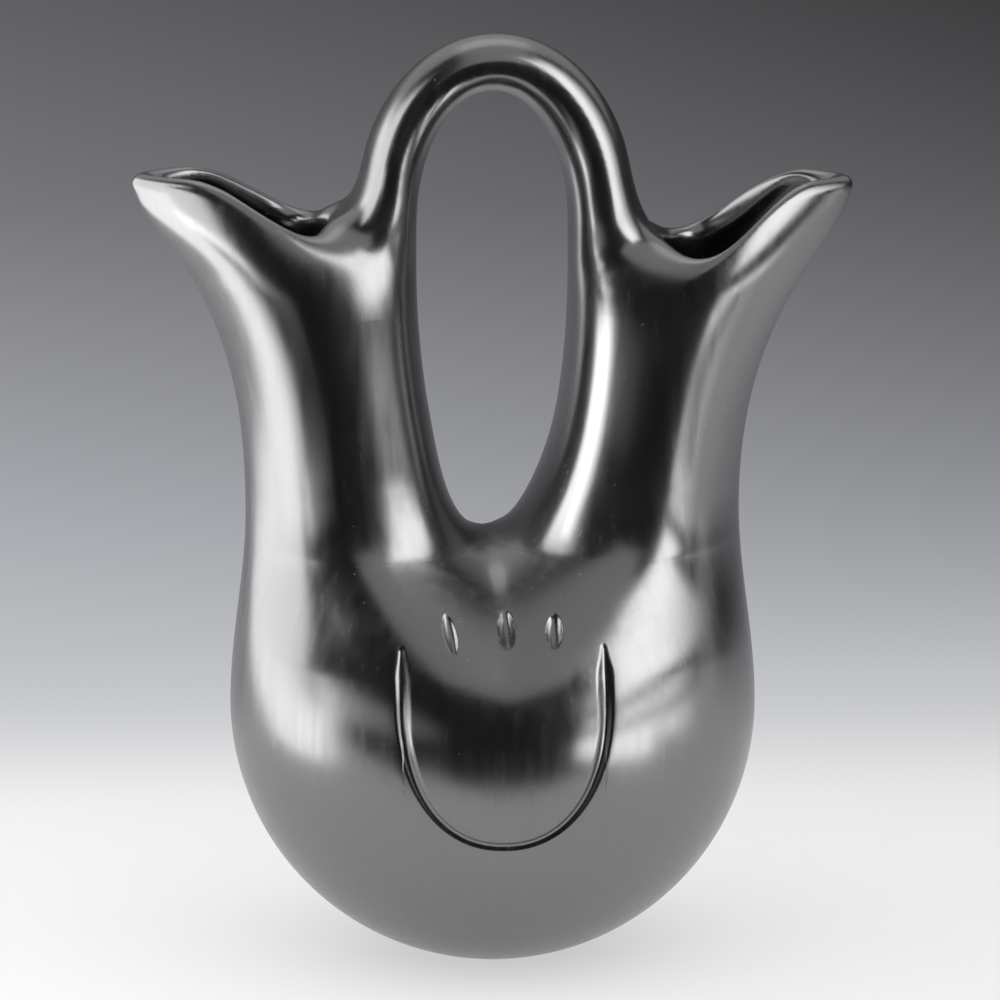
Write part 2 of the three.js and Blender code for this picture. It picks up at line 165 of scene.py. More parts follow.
# bear paw pressed into the front with a wet thumb and a rounded stick, in mm
paw = {
    "centre": -1.7, "halfWidth": 34.2, "top": 121, "shoulder": 104, "bottom": 55.4, "squareness": 2.2,
    "bendSteps": 60, "armSteps": 12, "margin": 14, "toeMargin": 16,
    "topWidth": 7.0, "bottomWidth": 4.2, "widthBend": 1.3, "steepness": 0.25,
    "tipFade": (1, -9), "tipWidth": 0.35,  # the arms end in points
    "pad": 0.55, "padReach": 8, "padFade": 25, "outerPad": 0.35,  # clay pressed down beside the groove
    "toeTaper": 0.25, "toeFullness": 0.8,
    "toes": [(-19.2, 125.6, 4.4, 11.6, 0.20, 1.8), (0, 125.8, 5.8, 10.8, 0.0, 2.8),
             (16, 125.8, 5.6, 10.0, -0.10, 2.1)],  # x, z, width, length, tilt, depth
}


def pawLine():  # centre line of the broad U, as (x, z)
    points = []
    count = paw["bendSteps"]
    power = 2 / paw["squareness"]
    for k in range(-count, count + 1):
        turn = math.pi / 2 * abs(k) / count
        side = 1 if k > 0 else -1
        x = paw["centre"] + side * paw["halfWidth"] * math.sin(turn) ** power
        z = paw["shoulder"] - (paw["shoulder"] - paw["bottom"]) * math.cos(turn) ** power
        points.append((x, z))
    for k in range(1, paw["armSteps"] + 1):
        z = paw["shoulder"] + (paw["top"] - paw["shoulder"]) * k / paw["armSteps"]
        points.insert(0, (paw["centre"] - paw["halfWidth"], z))
        points.append((paw["centre"] + paw["halfWidth"], z))
    return points


pawPath = pawLine()


def pawDepth(x, z):  # how far the clay is pressed in at a place on the front
    top, bottom, offset = paw["top"], paw["bottom"], abs(x - paw["centre"])
    if not (bottom - paw["margin"] < z < top + paw["toeMargin"] and offset < paw["halfWidth"] + paw["margin"]):
        return 0
    near = min(pawPath, key=lambda p: (p[0] - x) ** 2 + (p[1] - z) ** 2)
    k = pawPath.index(near)
    gaps = []
    for a, b in zip(pawPath[max(0, k - 1):k + 1], pawPath[max(1, k):k + 2]):
        run = (b[0] - a[0], b[1] - a[1])
        share = clamp(((x - a[0]) * run[0] + (z - a[1]) * run[1]) / (run[0] ** 2 + run[1] ** 2), 0, 1)
        gaps.append(math.hypot(x - a[0] - share * run[0], z - a[1] - share * run[1]))
    away = min(gaps)
    rise = clamp((near[1] - bottom) / (top - bottom), 0, 1)
    width = paw["bottomWidth"] + (paw["topWidth"] - paw["bottomWidth"]) * rise ** paw["widthBend"]
    tip = smoothStep(top + paw["tipFade"][0], top + paw["tipFade"][1], z)
    width *= paw["tipWidth"] + (1 - paw["tipWidth"]) * tip
    depth = 0
    if away < width / 2:
        depth += paw["steepness"] * width * math.cos(math.pi * away / width) ** 2
    if z < top:
        reach = paw["padReach"] * (1 if offset < paw["halfWidth"] else paw["outerPad"])
        depth += paw["pad"] * math.exp(-(away / reach) ** 2) * smoothStep(top, top - paw["padFade"], z)
    for toeX, toeZ, toeWidth, toeLength, tilt, toeDepth in paw["toes"]:
        v = (z - toeZ) / (toeLength / 2)
        u = (x - toeX + tilt * (z - toeZ)) / (toeWidth / 2 * (1 - paw["toeTaper"] * (v < 0) * v * v))
        hollow = 1 - u * u - v * v
        if hollow > 0:
            depth += toeDepth * hollow ** paw["toeFullness"]
    return depth


# columns of every wall: close together over the paw, wider round the sides and back
columns = {"front": 132, "rest": 120, "frontShare": 0.3}
restShare = 2 - columns["frontShare"]
alongs = [-1 + columns["frontShare"] * k / columns["front"] for k in range(columns["front"])]
alongs += [columns["frontShare"] - 1 + restShare * k / columns["rest"] for k in range(columns["rest"] + 1)]


def linear(hexColour):  # sRGB hex to linear
    parts = [int(hexColour[k:k + 2], 16) / 255 for k in (1, 3, 5)]
    return [p / 12.92 if p <= 0.04045 else ((p + 0.055) / 1.055) ** 2.4 for p in parts] + [1]


def addNode(tree, kind, values=None, links=None, **settings):  # one node with its settings, values and links
    node = tree.nodes.new(kind)
    for key, value in settings.items():
        setattr(node, key, value)
    for socket, value in (values or {}).items():
        node.inputs[socket].default_value = value
    for socket, source in (links or {}).items():
        tree.links.new(source, node.inputs[socket])
    return node


def addNoise(tree, scale, detail, place, roughness=0.5):
    values = {"Scale": scale, "Detail": detail, "Roughness": roughness}
    return addNode(tree, "ShaderNodeTexNoise", values, {"Vector": place}).outputs["Fac"]


def addRange(tree, value, fromEnds, toEnds=(0, 1), **settings):
    values = {"From Min": fromEnds[0], "From Max": fromEnds[1], "To Min": toEnds[0], "To Max": toEnds[1]}
    return addNode(tree, "ShaderNodeMapRange", values, {"Value": value}, **settings).outputs[0]


def addBump(tree, height, relief, under=None):  # height in mm
    links = {"Height": relief, "Normal": under} if under else {"Height": relief}
    return addNode(tree, "ShaderNodeBump", {"Strength": 1, "Distance": height * mm}, links).outputs[0]


def addMath(tree, operation, first, second):
    return addNode(tree, "ShaderNodeMath", links={0: first, 1: second}, operation=operation).outputs[0]


def newMaterial(name):
    material = bpy.data.materials.new(name)
    material.use_nodes = True
    material.node_tree.nodes.clear()
    return material, material.node_tree


# stone-burnished, smoke-fired blackware: a carbon film as glossy as graphite, with faint upright rubbing marks
blackware = {
    "colour": "#0c0b0b", "ember": "#191614", "speck": "#6f6c68", "ior": 2.7, "roughness": (0.21, 0.28),
    "strokeWidth": 3.2, "strokeLength": 46, "lump": 26, "grit": 0.7, "speckSpacing": 7,  # mm
    "lumpHeight": 0.05, "strokeHeight": 0.012, "gritHeight": 0.0015,  # mm
    "speckEdge": (0.03, 0.045), "emberEdge": (0.5, 0.75), "strokeEdge": (0.3, 0.7),
}


def burnishedBlackware():
    material, tree = newMaterial("smokeFiredBurnishedBlackware")
    place = addNode(tree, "ShaderNodeTexCoord").outputs["Object"]
    across, along = 1 / (blackware["strokeWidth"] * mm), 1 / (blackware["strokeLength"] * mm)
    strokePlace = addNode(tree, "ShaderNodeMapping", {"Scale": (across, across, along)}, {"Vector": place})
    stroke = addNoise(tree, 1, 4, strokePlace.outputs[0], 0.55)
    lump = addNoise(tree, 1 / (blackware["lump"] * mm), 1.5, place)
    grit = addNoise(tree, 1 / (blackware["grit"] * mm), 2, place)
    speckValues = {"Scale": 1 / (blackware["speckSpacing"] * mm), "Randomness": 1}
    speck = addNode(tree, "ShaderNodeTexVoronoi", speckValues, {"Vector": place})
    dot = addRange(tree, speck.outputs["Distance"], blackware["speckEdge"], (1, 0))
    cloud = addRange(tree, lump, blackware["emberEdge"])
    clay = addNode(tree, "ShaderNodeMix", {6: linear(blackware["colour"]), 7: linear(blackware["ember"])},
                   {0: cloud}, data_type="RGBA")
    tone = addNode(tree, "ShaderNodeMix", {7: linear(blackware["speck"])},
                   {0: dot, 6: clay.outputs[2]}, data_type="RGBA")
    rough = addRange(tree, stroke, blackware["strokeEdge"], blackware["roughness"])
    lumpBump = addBump(tree, blackware["lumpHeight"], lump)
    strokeBump = addBump(tree, blackware["strokeHeight"], stroke, lumpBump)
    gritBump = addBump(tree, blackware["gritHeight"], grit, strokeBump)
    shader = addNode(tree, "ShaderNodeBsdfPrincipled", {"IOR": blackware["ior"], "Metallic": 0},
                     {"Base Color": tone.outputs[2], "Roughness": rough, "Normal": gritBump})
    addNode(tree, "ShaderNodeOutputMaterial", links={"Surface": shader.outputs[0]})
    return material


# the same clay inside and under the foot, scraped and smoked but never rubbed: matt, with a sandy tooth
rawClay = {
    "colour": "#1f1c1a", "pale": "#2f2b28", "ior": 1.5, "roughness": 0.8,
    "scrapeLength": 25, "scrape": 4, "grain": 0.8, "scrapeHeight": 0.35, "grainHeight": 0.12,  # mm
}


def scrapedClay():
    material, tree = newMaterial("smokedScrapedClay")
    place = addNode(tree, "ShaderNodeTexCoord").outputs["Object"]
    along, across = 1 / (rawClay["scrapeLength"] * mm), 1 / (rawClay["scrape"] * mm)
    scrapePlace = addNode(tree, "ShaderNodeMapping", {"Scale": (along, along, across)}, {"Vector": place})
    scrape = addNoise(tree, 1, 3, scrapePlace.outputs[0])
    grain = addNoise(tree, 1 / (rawClay["grain"] * mm), 3, place)
    tone = addNode(tree, "ShaderNodeMix", {6: linear(rawClay["colour"]), 7: linear(rawClay["pale"])},
                   {0: grain}, data_type="RGBA")
    scrapeBump = addBump(tree, rawClay["scrapeHeight"], scrape)
    grainBump = addBump(tree, rawClay["grainHeight"], grain, scrapeBump)
    shader = addNode(tree, "ShaderNodeBsdfPrincipled", {"IOR": rawClay["ior"], "Roughness": rawClay["roughness"]},
                     {"Base Color": tone.outputs[2], "Normal": grainBump})
    addNode(tree, "ShaderNodeOutputMaterial", links={"Surface": shader.outputs[0]})
    return material


polished, scraped = burnishedBlackware(), scrapedClay()
print("materials ready:", polished.name, scraped.name)

making = {"weldGap": 0.005, "sharpAngle": 38, "seamRows": (0, 0.12, 0.35)}  # mm and degrees


def selectOnly(piece):
    bpy.ops.object.select_all(action="DESELECT")
    piece.select_set(True)
    bpy.context.view_layer.objects.active = piece


# a clay slab laid as a grid, with every row moved to its place; rows in the set rawRows are left unpolished
def slab(rows, rawRows=()):
    wide, tall = len(rows[0]) - 1, len(rows) - 1
    bpy.ops.object.select_all(action="DESELECT")
    bpy.ops.mesh.primitive_grid_add(x_subdivisions=wide, y_subdivisions=tall, size=1)
    piece = bpy.context.active_object
    piece.data.vertices.foreach_set("co", [value * mm for row in rows for point in row for value in point])
    piece.data.materials.append(polished)
    piece.data.materials.append(scraped)
    finish = [int(k // wide in rawRows) for k in range(wide * tall)]
    piece.data.polygons.foreach_set("material_index", finish)
    piece.data.update()
    return piece


def luted(name, pieces):  # one closed piece from its slabs
    selectOnly(pieces[0])
    for piece in pieces:
        piece.select_set(True)
    if len(pieces) > 1:
        bpy.ops.object.join()
    piece = bpy.context.active_object
    piece.name = name
    piece.data.name = name
    bpy.ops.object.mode_set(mode="EDIT")
    bpy.ops.mesh.select_all(action="SELECT")
    bpy.ops.mesh.remove_doubles(threshold=making["weldGap"] * mm)
    bpy.ops.object.mode_set(mode="OBJECT")
    return piece


def finished(piece, node):
    selectOnly(piece)
    bpy.ops.object.shade_smooth_by_angle(angle=math.radians(making["sharpAngle"]))
    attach(piece, "root")
    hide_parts(node)
    print(piece.name, "stands for", node, "with", len(piece.data.polygons), "faces")


def ringRow(z, inset, side):
    row = []
    for along in alongs:
        point = sectionPoint(z, along, inset, rims[side])
        point.x *= side
        leaned(point)
        if inset == 0 and point.y < 0:
            point.y += pawDepth(point.x, z)
        row.append(point)
    return row if side > 0 else row[::-1]


def wall(name, node, outer, inner, sides):  # outer heights go up, inner heights come down
    slabs = []
    close = making["seamRows"]  # rows beside the seams, so that the sheen runs on across them
    bottomRows = [outer[0] + rise for rise in close]
    topRows = [outer[-1] - drop for drop in close[::-1]]
    outer = bottomRows + outer[1:-1] + topRows
    for side in sides:
        rows = [ringRow(z, 0, side) for z in outer] + [ringRow(z, form["wall"], side) for z in inner]
        slabs.append(slab(rows + [rows[0]], set(range(len(outer), len(rows) - 1))))
    finished(luted(name, slabs), node)


# base: the pat pressed in the bowl mould, flat under the foot
base = {
    "outerTop": 28, "innerTop": 24, "footRings": (0, 0.5, 0.9, 0.985),
    "edgeRows": [0, 0.15, 0.5, 1.2], "rowsFrom": 2.2, "row": 1.3, "innerRows": 12,
}
footRows = len(base["footRings"])
slabs = []
for side in (1, -1):
    foot = ringRow(0, 0, side)
    outer = [[point * share for point in foot] for share in base["footRings"]]
    heights = base["edgeRows"] + steps(base["rowsFrom"], base["outerTop"], base["row"])
    outer += [ringRow(z, 0, side) for z in heights]
    rise = form["bellyHeight"] - form["floor"]
    start = math.acos((form["bellyHeight"] - base["innerTop"]) / rise)
    turns = [start * (1 - k / base["innerRows"]) for k in range(base["innerRows"] + 1)]
    inner = [ringRow(form["bellyHeight"] - rise * math.cos(turn), form["wall"], side) for turn in turns]
    rows = outer + inner
    slabs.append(slab(rows, set(range(footRows)) | set(range(len(outer), len(rows) - 1))))
finished(luted("basePat", slabs), "base")

# three coils of the bowl, with rows fine enough for the paw
coilRow = {"outer": 0.55, "inner": 4}
bowlCoils = [
    {"name": "lowerCoil", "node": "lower_coil", "outer": (28, 52), "inner": (24, 48)},
    {"name": "bellyCoil", "node": "belly_coil", "outer": (52, 84), "inner": (48, 80)},
    {"name": "upperCoil", "node": "upper_coil", "outer": (84, 112), "inner": (80, 108)},
]
for coil in bowlCoils:
    outer, inner = (steps(*coil[face], coilRow[face]) for face in ("outer", "inner"))
    wall(coil["name"], coil["node"], outer, inner[::-1], (1, -1))

# shoulder: one ring below, two neck rings above, and the saddle between them
shoulder = {
    "outer": (112, 136, form["crotchHeight"], 157.7), "outerRows": (0.55, 0.5, 0.5),
    "inner": (108, 136.7, 153.7), "innerRows": (2, 1.5),
}


def joinedSteps(ends, sizes):
    heights = [ends[0]]
    for low, high, size in zip(ends, ends[1:], sizes):
        heights += steps(low, high, size)[1:]
    return heights


outer = joinedSteps(shoulder["outer"], shoulder["outerRows"])
inner = joinedSteps(shoulder["inner"], shoulder["innerRows"])
wall("shoulderSaddle", "shoulder", outer, inner[::-1], (1, -1))

# two coils in each neck
neckRow = 0.8
neckCoils = [
    {"name": "Neck", "node": "_neck", "outer": (157.7, 192.85), "inner": (153.7, 188.85), "innerRow": 4},
    {"name": "Throat", "node": "_throat", "outer": (192.85, 228), "inner": (188.85, 228), "innerRow": 2.5},
]
for side, label in ((-1, "left"), (1, "right")):
    for coil in neckCoils:
        outer, inner = steps(*coil["outer"], neckRow), steps(*coil["inner"], coil["innerRow"])
        wall(label + coil["name"], label + coil["node"], outer, inner[::-1], (side,))

# lips: the flare goes over a rolled rim and down the bore
lip = {"bottom": 214, "rows": 44, "roll": 30, "handleAt": 47.3, "passes": 24, "probe": 2}


def crest(x, rim):  # height of the rim's ridge
    if x < rim["saddleAt"]:
        near = min(1, (rim["saddleAt"] - x) / (rim["saddleAt"] - lip["handleAt"]))
        return rim["saddle"] + rim["handleRise"] * near * near
    u = min(1, (x - rim["saddleAt"]) / (rim["tipAt"] - rim["saddleAt"]))
    return rim["saddle"] + (rim["tip"] - rim["saddle"]) * (1 - math.cos(math.pi * u)) / 2


def rimEnd(along, rim):  # where the wall ends and the roll begins
    z = form["throatHeight"]
    for _ in range(lip["passes"]):
        outer = sectionPoint(z, along, 0, rim)
        inner = sectionPoint(z, along, wallAt(z), rim)
        z = crest((outer.x + inner.x) / 2, rim) - (outer - inner).length / 2
    middle = (outer + inner) / 2
    under = z - lip["probe"]
    up = middle - (sectionPoint(under, along, 0, rim) + sectionPoint(under, along, wallAt(under), rim)) / 2
    return z, middle, outer - middle, up / up.z


def lipBlank(rim):
    rows = [[] for _ in range(2 * lip["rows"] + lip["roll"] + 2)]
    for along in alongs:
        end, middle, across, up = rimEnd(along, rim)
        heights = steps(lip["bottom"], end, (end - lip["bottom"]) / lip["rows"])
        points = [sectionPoint(z, along, 0, rim) for z in heights]
        for k in range(1, lip["roll"]):
            turn = math.pi * k / lip["roll"]
            points.append(middle + across * math.cos(turn) + up * (across.length * math.sin(turn)))
        points += [sectionPoint(z, along, wallAt(z), rim) for z in heights[::-1]]
        points.append(points[0].copy())
        for row, point in zip(rows, points):
            point.x *= rim["side"]
            row.append(leaned(point))
    return slab([row if rim["side"] > 0 else row[::-1] for row in rows])


# handle: a solid roll bent into an arch, its feet pressed into the inner ends of the rims
handle = {
    "topThickness": 19.5, "rootThickness": 21.1, "backShift": 1.2, "rootLift": 7, "rootDepth": 18, "rootSink": 8,
    "topHalfDepth": 16.5, "rootHalfDepth": 33, "depthBend": 1.5, "flareTop": 278, "flareBend": 2.6,
    "archSteps": 150, "rootSteps": 16, "sides": 88,
}


def handleSections():  # inner end, outer end, half-depth and fullness of each cut through the roll
    spring, half = form["archSpring"], form["loopHalfWidth"]
    outerSpring, outerHalf = spring + handle["rootLift"], half + handle["rootThickness"]
    top = spring + form["archRise"] + handle["topThickness"]
    for k in range(-handle["rootSteps"], handle["archSteps"] + handle["rootSteps"] + 1):
        turn = math.pi * clamp(k / handle["archSteps"], 0, 1)
        c, s = math.cos(turn), math.sin(turn)
        drop = handle["rootDepth"] * max(-k, k - handle["archSteps"], 0) / handle["rootSteps"]
        rim = rims[1 if c > 0 else -1]
        outerZ = outerSpring + (top - outerSpring) * s - drop
        flare = clamp((handle["flareTop"] - outerZ) / (handle["flareTop"] - rim["saddle"]), 0, 1)
        outerX = outerHalf * c + handle["backShift"] + rim["side"] * rim["handleFlare"] * flare ** handle["flareBend"]
        growth = clamp((top - outerZ) / (top - rim["saddle"]), 0, 1) ** handle["depthBend"]
        depth = handle["topHalfDepth"] + (handle["rootHalfDepth"] - handle["topHalfDepth"]) * growth
        depth -= handle["rootSink"] * drop / handle["rootDepth"]
        inner = Vector((half * c, 0, spring + form["archRise"] * s - drop))
        yield inner, Vector((outerX, 0, outerZ)), depth, form["pinch"] * growth


def handleBlank():
    rows = []
    for inner, outer, depth, fullness in handleSections():
        middle = (inner + outer) / 2
        across = outer - middle
        row = []
        for k in range(handle["sides"] + 1):
            turn = 2 * math.pi * k / handle["sides"]
            full = 1 + fullness * max(0, -math.cos(turn)) ** 3
            row.append(leaned(middle + across * math.cos(turn) + Vector((0, depth * full * math.sin(turn), 0))))
        rows.append(row)
    ends = [[sum(row[:-1], Vector((0, 0, 0))) / handle["sides"]] * len(row) for row in (rows[0], rows[-1])]
    return slab([ends[0]] + rows + [ends[1]])


# the wet clay of lips and handle is worked into one skin, then cut again into its pieces
working = {
    "voxel": 0.8, "rub": 0.5, "evenOut": 6,
    "rootBlend": 110, "rootAt": (46, 257), "rootReach": (12, 30),
    "faceBlend": 420, "faceAt": (43, 31, 251), "faceReach": (9, 30),
}
top = luted("rimsAndHandle", [lipBlank(leftRim), lipBlank(rightRim), handleBlank()])
remesh = top.modifiers.new("worked", "REMESH")
remesh.mode = "VOXEL"
remesh.voxel_size = working["voxel"] * mm
bpy.ops.object.modifier_apply(modifier=remesh.name)
roots, faces = (top.vertex_groups.new(name=name) for name in ("handleRoots", "handleFaces"))
for vertex in top.data.vertices:
    spot = Vector((abs(vertex.co.x), abs(vertex.co.y), vertex.co.z)) / mm
    rootGap = math.hypot(spot.x - working["rootAt"][0], spot.z - working["rootAt"][1])
    faceGap = (spot - Vector(working["faceAt"])).length
    for group, reach, gap in ((roots, working["rootReach"], rootGap), (faces, working["faceReach"], faceGap)):
        share = 1 - smoothStep(*reach, gap)
        if share > 0:
            group.add([vertex.index], share, "REPLACE")
for name, group in (("evenOut", ""), ("faceBlend", "handleFaces"), ("rootBlend", "handleRoots")):
    smooth = top.modifiers.new(name, "SMOOTH")
    smooth.factor = working["rub"]
    smooth.iterations = working[name]
    smooth.vertex_group = group
    bpy.ops.object.modifier_apply(modifier=name)
print("rims and handle worked together,", len(top.data.polygons), "faces")

footCut = {"at": (38, 268), "tilt": math.radians(15), "seam": 228}  # planes between handle and lips


def cutFrom(source, name, planes):  # keeps what lies behind every plane
    selectOnly(source)
    bpy.ops.object.duplicate()
    piece = bpy.context.active_object
    piece.name = name
    bpy.ops.object.mode_set(mode="EDIT")
    for point, normal in planes:
        bpy.ops.mesh.select_all(action="SELECT")
        bpy.ops.mesh.bisect(plane_co=Vector(point) * mm, plane_no=normal, use_fill=True, clear_outer=True)
    bpy.ops.object.mode_set(mode="OBJECT")
    return piece


lean, (footX, footZ) = footCut["tilt"], footCut["at"]
for rim, label in ((leftRim, "left"), (rightRim, "right")):
    side = rim["side"]
    planes = [((side * footX, 0, footZ), (-side * math.sin(lean), 0, math.cos(lean))),
              ((0, 0, footZ), (-side, 0, 0)), ((0, 0, footCut["seam"]), (0, 0, -1))]
    finished(cutFrom(top, label + "Lip", planes), label + "_lip")
planes = [((side * footX, 0, footZ), (side * math.sin(lean), 0, -math.cos(lean))) for side in (1, -1)]
finished(cutFrom(top, "archHandle", planes), "handle")
bpy.data.objects.remove(top)
print("pieces done")


# studio, in mm: a pale sweep, soft panels that show only as highlights, and one wide lamp for the table
studio = {
    "floorColour": "#f0f0f0", "front": -4000, "flatRows": (-300, 0), "sweepStart": 350, "sweepRadius": 600,
    "sweepTop": 2600, "sweepHalf": 4000, "curveSteps": 36, "columns": 8,
    # the ramp is painted shade: emitted greys, pale on the table and darker up the sweep, that stand in for the
    # fall-off of light
    "ramp": [(-75, "#f5f5f5", 0.5), (217, "#e6e6e6", 0.4), (413, "#c3c4c8", 0.1), (563, "#a3a4a9", 0.67),
             (744, "#6d6d71", 1.17), (819, "#565658", 1.7)],  # depth, painted grey, tilt
    "tiltLimit": 2, "tiltReach": 350,  # painted shade: the emitted greys get darker to the right, by tilt for each metre
    # glow is the share of painted light on the table near the vase, which lightens the cast shadow there
    # towards the front edge the table shows a painted dark reflection: glossy rays see the dim room there instead of
    # the paper
    "glow": 0.62, "blend": (120, 380), "paintedDarkFrom": (-200, -270), "room": 0.015,
}


def sweepMesh():
    start, radius, half, wide = (studio[key] for key in ("sweepStart", "sweepRadius", "sweepHalf", "columns"))
    profile = [(y, 0) for y in (studio["front"], *studio["flatRows"], start)]
    for k in range(1, studio["curveSteps"] + 1):
        turn = math.pi / 2 * k / studio["curveSteps"]
        profile.append((start + radius * math.sin(turn), radius * (1 - math.cos(turn))))
    profile.append((start + radius, studio["sweepTop"]))
    bpy.ops.object.select_all(action="DESELECT")
    bpy.ops.mesh.primitive_grid_add(x_subdivisions=wide, y_subdivisions=len(profile) - 1, size=1)
    floor = bpy.context.active_object
    floor.name = "sweep"
    acrossRow = [half * (2 * k / wide - 1) for k in range(wide + 1)]
    floor.data.vertices.foreach_set("co", [value * mm for y, z in profile for x in acrossRow for value in (x, y, z)])
    floor.data.update()
    selectOnly(floor)
    bpy.ops.object.shade_smooth()
    return floor


def sweepPaper():  # matt paper under glowing painted light and shade: pale on the table, painted grey further up
    material, tree = newMaterial("sweepPaperWithPaintedLight")
    place = addNode(tree, "ShaderNodeTexCoord").outputs["Object"]
    parts = addNode(tree, "ShaderNodeSeparateXYZ", links={"Vector": place})
    first, last = studio["ramp"][0][0], studio["ramp"][-1][0]
    reach = addRange(tree, parts.outputs["Y"], (first * mm, last * mm))
    ramp = addNode(tree, "ShaderNodeValToRGB", links={"Fac": reach})
    stops = ramp.color_ramp.elements
    while len(stops) < len(studio["ramp"]):
        stops.new(0.5)
    for stop, (at, colour, tilt) in zip(stops, studio["ramp"]):
        stop.position = (at - first) / (last - first)
        stop.color = linear(colour)[:3] + [tilt / studio["tiltLimit"]]
    blend, paintedDarkFrom = ([end * mm for end in studio[key]] for key in ("blend", "paintedDarkFrom"))
    # camera and glossy rays see painted light: the glow share on the table near the vase, lightening its cast shadow,
    # and all of it further back
    back = addRange(tree, parts.outputs["Y"], blend, (studio["glow"], 1), interpolation_type="SMOOTHSTEP")
    # painted reflection: towards the front, glossy rays see the dim room's glow on the table instead of the pale paper
    front = addRange(tree, parts.outputs["Y"], paintedDarkFrom, interpolation_type="SMOOTHSTEP")
    rays = addNode(tree, "ShaderNodeLightPath")
    seen = addMath(tree, "MAXIMUM", rays.outputs["Is Camera Ray"], rays.outputs["Is Glossy Ray"])
    share = addMath(tree, "MULTIPLY", seen, back)
    paintedDarkReflection = addMath(tree, "MULTIPLY", rays.outputs["Is Glossy Ray"], front)
    # painted shade: the emitted greys darken towards the right
    tilt = addNode(tree, "ShaderNodeMath", {1: -studio["tiltLimit"]}, {0: ramp.outputs["Alpha"]}, operation="MULTIPLY")
    limits = {"Min": -studio["tiltReach"] * mm, "Max": studio["tiltReach"] * mm}
    sideways = addNode(tree, "ShaderNodeClamp", limits, {"Value": parts.outputs["X"]})
    level = addNode(tree, "ShaderNodeMath", {2: 1}, {0: sideways.outputs[0], 1: tilt.outputs[0]},
                    operation="MULTIPLY_ADD")
    paper = addNode(tree, "ShaderNodeBsdfDiffuse", {"Color": linear(studio["floorColour"])})
    # the paper glows though it is no lamp: its emitted greys are painted light and shade
    glow = addNode(tree, "ShaderNodeEmission", links={"Color": ramp.outputs["Color"], "Strength": level.outputs[0]})
    room = addNode(tree, "ShaderNodeEmission", {"Color": linear("#ffffff"), "Strength": studio["room"]})
    clear = addNode(tree, "ShaderNodeBsdfTransparent")
    rear = addNode(tree, "ShaderNodeNewGeometry").outputs["Backfacing"]  # nothing shows of the paper from its rear
    surface = paper
    for amount, other in ((share, glow), (paintedDarkReflection, room), (rear, clear)):
        surface = addNode(tree, "ShaderNodeMixShader", links={0: amount, 1: surface.outputs[0], 2: other.outputs[0]})
    addNode(tree, "ShaderNodeOutputMaterial", links={"Surface": surface.outputs[0]})
    return material


sweep = sweepMesh()
sweep.data.materials.append(sweepPaper())

# upright panels; fade gives the shares over which the light dies away: from end, to end, low edge, high edge
panels = [
    {"name": "leftSoftbox", "from": (-330, 2), "to": (-560, 294), "low": 5, "high": 700,
     "radiance": 2.25, "fade": (0, 0, 0, 0.3)},
    {"name": "leftEnd", "from": (-285, -55), "to": (-330, 2), "low": 135, "high": 700,
     "radiance": 2.4, "fade": (0.2, 0, 0, 0.3)},
    {"name": "leftEndMiddle", "from": (-245, -135), "to": (-330, 2), "low": 80, "high": 135,
     "radiance": 2.1, "fade": (1, 0, 0, 0)},
    {"name": "leftEndLow", "from": (-255, -150), "to": (-330, 2), "low": 5, "high": 80,
     "radiance": 2.3, "fade": (0.5, 0, 0, 0)},
    {"name": "leftFar", "from": (-560, 294), "to": (-670, 880), "low": 5, "high": 700,
     "radiance": 2.2, "fade": (0, 0.7, 0, 0.3)},
    {"name": "tipStrip", "from": (-185, -110), "to": (-212, -28), "low": 205, "high": 345,
     "radiance": 2.2, "fade": (0.3, 0.1, 0.1, 0.2)},
    {"name": "loopStrip", "from": (-10, -66), "to": (-10, -22), "low": 150, "high": 242,
     "radiance": 1.7, "fade": (0.35, 0.1, 0, 0.3), "spread": 120},
    {"name": "leftFront", "from": (-930, -390), "to": (-995, -140), "low": 5, "high": 260,
     "radiance": 2.0, "fade": (0.2, 0.2, 0, 0.4)},
    {"name": "fillNear", "from": (-580, -391), "to": (-649, -262), "low": 40, "high": 215,
     "radiance": 0.8, "fade": (0, 0, 0.2, 0.2)},
    {"name": "fillMiddle", "from": (-468, -520), "to": (-580, -391), "low": 40, "high": 215,
     "radiance": 0.5, "fade": (0, 0, 0.2, 0.2)},
    {"name": "fillFar", "from": (-262, -649), "to": (-468, -520), "low": 40, "high": 215,
     "radiance": 0.25, "fade": (0.5, 0, 0.2, 0.2)},
    {"name": "rightFront", "from": (1088, -507), "to": (739, -946), "low": 290, "high": 2700,
     "radiance": 3.3, "fade": (0, 0.2, 0.06, 0.45)},
    {"name": "rightSide", "from": (1113, 450), "to": (1088, -507), "low": 330, "high": 2700,
     "radiance": 3.3, "fade": (0.95, 0, 0.06, 0.45)},
    {"name": "rightMiddle", "from": (420, -270), "to": (280, -405), "low": 92, "high": 170,
     "radiance": 3.0, "fade": (0, 0.3, 0.25, 0.3)},
    {"name": "rightMiddleSide", "from": (500, 0), "to": (420, -270), "low": 92, "high": 170,
     "radiance": 2.6, "fade": (0.7, 0, 0.25, 0.3)},
    {"name": "rightLow", "from": (300, -170), "to": (156, -302), "low": 10, "high": 88,
     "radiance": 3.3, "fade": (0, 0.3, 0, 0.2)},
    {"name": "rightLowSide", "from": (350, -20), "to": (300, -170), "low": 36, "high": 88,
     "radiance": 2.4, "fade": (0.8, 0, 0.3, 0.2)},
    {"name": "rightBack", "from": (1130, 400), "to": (1199, 42), "low": 5, "high": 1500,
     "radiance": 0.4, "fade": (0.3, 0.3, 0, 0.3)},
]
